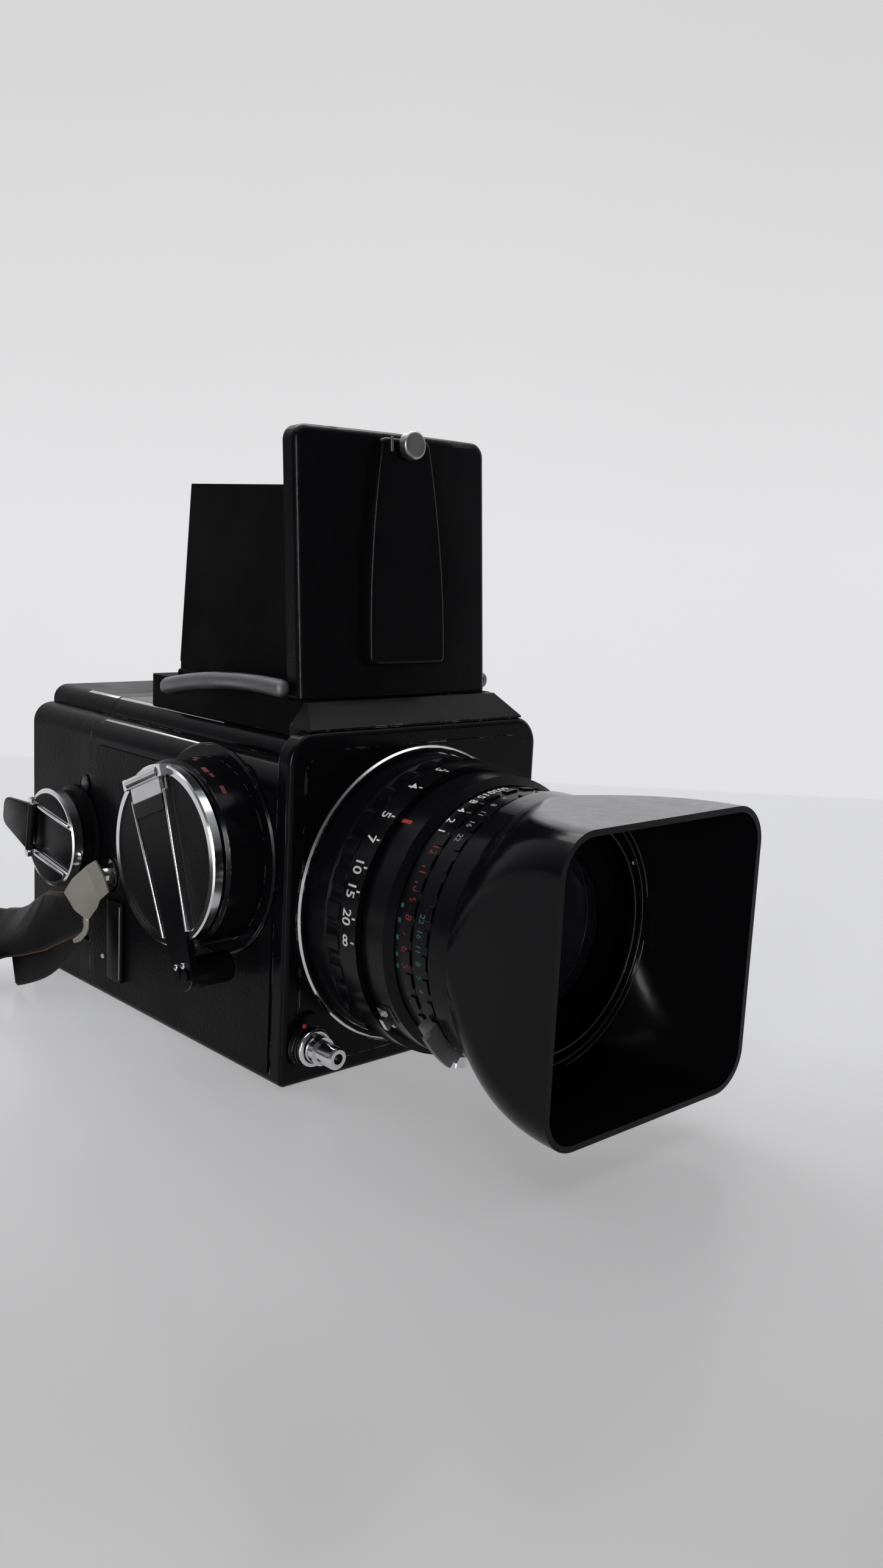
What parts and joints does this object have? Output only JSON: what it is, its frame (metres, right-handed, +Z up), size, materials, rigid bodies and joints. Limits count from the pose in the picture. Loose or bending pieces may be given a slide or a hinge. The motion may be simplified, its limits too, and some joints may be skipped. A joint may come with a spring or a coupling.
{
  "type": "medium format film camera",
  "caption": "Boxy single-lens reflex film camera with a folding waist-level finder, side winding crank, detachable film magazine, ringed lens with square shade, and neck strap.",
  "frame": {"origin": "centre of the tripod thread at the mouth of its bore, on the underside of the base plate", "axes": "-Y is the way the lens points, +Z is up, -X is the side with the winding crank"},
  "size_m": [0.2147, 0.2619, 0.1677],
  "materials": {
    "body_black": "semi-gloss black enamel",
    "leatherette": "fine pressed black grain",
    "black_anodised": "satin black anodised",
    "matt_black": "matt black inside paint",
    "bright_chrome": "bright chrome, lightly worn",
    "satin_steel": "fine brushed",
    "grey_metal": "dull grey anodised",
    "black_plastic": "gloss black moulding",
    "coated_glass": "coated optical glass",
    "screen_glass": "ground glass",
    "mirror_silver": "front-silvered",
    "strap_leather": "black leather with worn edges",
    "worn_clip": "worn grey-beige plate"
  },
  "bodies": {
    "camera": {"body_shell": "body_black", "front_plate": "body_black", "name_strip": "matt_black", "rear_frame": "black_anodised", "mirror_box": "matt_black", "screen_frame": "black_anodised", "focusing_screen": "screen_glass", "base_plate": "grey_metal", "tripod_socket": "satin_steel", "side_coverings": "leatherette", "accessory_rail": "satin_steel", "strap_lugs": "bright_chrome", "release_collar": "bright_chrome", "mount_ring": "bright_chrome", "crank_base": "body_black", "finder_base": "body_black", "finder_rails": "grey_metal", "finder_cover": "body_black", "strap_run": "strap_leather", "strap_roll": "strap_leather", "strap_clips": "worn_clip"},
    "mirror": {"mirror_frame": "matt_black", "mirror_glass": "mirror_silver"},
    "upper_flap_body": {"upper_flap": "matt_black"},
    "lower_flap_body": {"lower_flap": "matt_black"},
    "cocking_shaft_body": {"cocking_shaft": "satin_steel"},
    "release": {"release_button": "bright_chrome"},
    "release_lock": {"release_lock_lever": "bright_chrome"},
    "lens_release": {"lens_release_button": "bright_chrome"},
    "crank_drum": {"crank_disc": "bright_chrome", "crank_inlays": "black_plastic"},
    "crank_lever": {"crank_hinge_block": "satin_steel", "crank_arm": "body_black"},
    "crank_knob": {"crank_handle": "black_plastic"},
    "cover_button": {"cover_knob": "bright_chrome"},
    "leaf_left": {"left_leaf": "matt_black"},
    "leaf_right": {"right_leaf": "matt_black"},
    "leaf_rear": {"rear_leaf": "matt_black"},
    "magnifier": {"magnifier_arm": "black_anodised", "magnifier_lens": "coated_glass"},
    "magazine": {"magazine_frame": "black_anodised", "magazine_shell": "body_black"},
    "slide": {"dark_slide": "satin_steel"},
    "latch": {"magazine_latch": "bright_chrome"},
    "winder": {"winder_disc": "bright_chrome"},
    "winder_fold": {"winder_tab": "black_plastic"},
    "insert": {"film_insert": "black_anodised"},
    "spool_supply": {"supply_spool": "black_plastic"},
    "spool_takeup": {"takeup_spool": "black_plastic"},
    "lens": {"lens_base": "black_anodised"},
    "focus": {"focus_ring": "black_anodised"},
    "barrel": {"lens_barrel": "black_anodised", "trim_ring": "black_anodised", "lens_glass": "coated_glass", "flash_socket": "bright_chrome"},
    "shutter": {"shutter_ring": "black_anodised"},
    "aperture": {"aperture_ring": "black_anodised", "coupling_lever": "bright_chrome"},
    "flash_select": {"flash_selector": "bright_chrome"},
    "lens_shade": {"shade": "body_black"}
  },
  "joints": [
    {"name": "lens_bayonet", "type": "hinge", "parent": "camera", "child": "lens", "pos_m": [0, -0.052, 0.0466], "axis": [0, 1, 0], "range_deg": [0, 60]},
    {"name": "focus_turn", "type": "hinge", "parent": "lens", "child": "focus", "pos_m": [0, -0.052, 0.0466], "axis": [0, -1, 0], "range_deg": [0, 210]},
    {"name": "focus_travel", "type": "slide", "parent": "lens", "child": "barrel", "axis": [0, -1, 0], "range_m": [0, 0.00801]},
    {"name": "shutter_turn", "type": "hinge", "parent": "barrel", "child": "shutter", "pos_m": [0, -0.052, 0.0466], "axis": [0, 1, 0], "range_deg": [-30, 120]},
    {"name": "aperture_turn", "type": "hinge", "parent": "barrel", "child": "aperture", "pos_m": [0, -0.052, 0.0466], "axis": [0, 1, 0], "range_deg": [-15, 90]},
    {"name": "flash_select_turn", "type": "hinge", "parent": "barrel", "child": "flash_select", "pos_m": [0, -0.052, 0.0466], "axis": [0, 1, 0], "range_deg": [0, 24]},
    {"name": "shade_turn", "type": "hinge", "parent": "barrel", "child": "lens_shade", "pos_m": [0, -0.052, 0.0466], "axis": [0, 1, 0], "range_deg": [0, 25]},
    {"name": "crank_turn", "type": "hinge", "parent": "camera", "child": "crank_drum", "pos_m": [0, -0.02, 0.0577], "axis": [1, 0, 0], "continuous": true},
    {"name": "cocking_turn", "type": "hinge", "parent": "camera", "child": "cocking_shaft_body", "pos_m": [-0.019, 0, 0.0246], "axis": [0, 1, 0], "continuous": true},
    {"name": "crank_fold", "type": "hinge", "parent": "crank_drum", "child": "crank_lever", "pos_m": [-0.06, -0.01236, 0.07662], "axis": [0, 0.9272, -0.3746], "range_deg": [0, 180]},
    {"name": "crank_knob_spin", "type": "hinge", "parent": "crank_lever", "child": "crank_knob", "pos_m": [-0.0576, -0.03146, 0.02933], "axis": [1, 0, 0], "continuous": true},
    {"name": "release_press", "type": "slide", "parent": "camera", "child": "release", "axis": [0, 1, 0], "range_m": [0, 0.0026], "stiffness_N_per_m": 400},
    {"name": "release_lock_turn", "type": "hinge", "parent": "camera", "child": "release_lock", "pos_m": [-0.0358, -0.052, 0.0119], "axis": [0, 1, 0], "range_deg": [0, 30]},
    {"name": "lens_release_press", "type": "slide", "parent": "camera", "child": "lens_release", "axis": [0, 1, 0], "range_m": [0, 0.002], "stiffness_N_per_m": 600},
    {"name": "mirror_flip", "type": "hinge", "parent": "camera", "child": "mirror", "pos_m": [0, 0.0329, 0.0772], "axis": [-1, 0, 0], "range_deg": [0, 45]},
    {"name": "upper_flap_turn", "type": "hinge", "parent": "camera", "child": "upper_flap_body", "pos_m": [0, 0.04095, 0.0736], "axis": [-1, 0, 0], "range_deg": [0, 90]},
    {"name": "lower_flap_turn", "type": "hinge", "parent": "camera", "child": "lower_flap_body", "pos_m": [0, 0.04095, 0.0196], "axis": [1, 0, 0], "range_deg": [0, 90]},
    {"name": "cover_button_press", "type": "slide", "parent": "camera", "child": "cover_button", "axis": [0, 0.9966, -0.0821], "range_m": [0, 0.0007], "stiffness_N_per_m": 600},
    {"name": "left_leaf_fold", "type": "hinge", "parent": "camera", "child": "leaf_left", "pos_m": [-0.0297, 0, 0.0999], "axis": [0, 1, 0], "range_deg": [0, 90]},
    {"name": "right_leaf_fold", "type": "hinge", "parent": "camera", "child": "leaf_right", "pos_m": [0.0297, 0, 0.1015], "axis": [0, -1, 0], "range_deg": [0, 90]},
    {"name": "rear_leaf_fold", "type": "hinge", "parent": "camera", "child": "leaf_rear", "pos_m": [0, 0.0202, 0.1031], "axis": [1, 0, 0], "range_deg": [0, 90]},
    {"name": "magnifier_swing", "type": "hinge", "parent": "camera", "child": "magnifier", "pos_m": [0, -0.032, 0.1575], "axis": [1, 0, 0], "range_deg": [0, 90]},
    {"name": "magazine_off", "type": "slide", "parent": "camera", "child": "magazine", "axis": [0, 1, 0], "range_m": [0, 0.06]},
    {"name": "dark_slide_pull", "type": "slide", "parent": "magazine", "child": "slide", "axis": [1, 0, 0], "range_m": [0, 0.062]},
    {"name": "magazine_latch_slide", "type": "slide", "parent": "magazine", "child": "latch", "axis": [1, 0, 0], "range_m": [0, 0.0035], "stiffness_N_per_m": 300},
    {"name": "winder_turn", "type": "hinge", "parent": "magazine", "child": "winder", "pos_m": [0, 0.0523, 0.0477], "axis": [1, 0, 0], "continuous": true},
    {"name": "winder_tab_fold", "type": "hinge", "parent": "winder", "child": "winder_fold", "pos_m": [-0.0543, 0.06188, 0.04922], "axis": [0, -0.1564, 0.9877], "range_deg": [0, 180]},
    {"name": "insert_pull", "type": "slide", "parent": "magazine", "child": "insert", "axis": [1, 0, 0], "range_m": [0, 0.075]},
    {"name": "supply_spool_turn", "type": "hinge", "parent": "insert", "child": "spool_supply", "pos_m": [0, 0.067, 0.0281], "axis": [1, 0, 0], "continuous": true},
    {"name": "takeup_spool_turn", "type": "hinge", "parent": "insert", "child": "spool_takeup", "pos_m": [0, 0.067, 0.0651], "axis": [1, 0, 0], "continuous": true}
  ],
  "couplings": [
    {"joint": "focus_travel", "follows": "focus_turn", "m_per_rad": 0.0021827},
    {"joint": "cocking_turn", "follows": "crank_turn", "ratio": 1},
    {"joint": "upper_flap_turn", "follows": "mirror_flip", "ratio": 2},
    {"joint": "lower_flap_turn", "follows": "mirror_flip", "ratio": 2},
    {"joint": "takeup_spool_turn", "follows": "winder_turn", "ratio": 1}
  ]
}
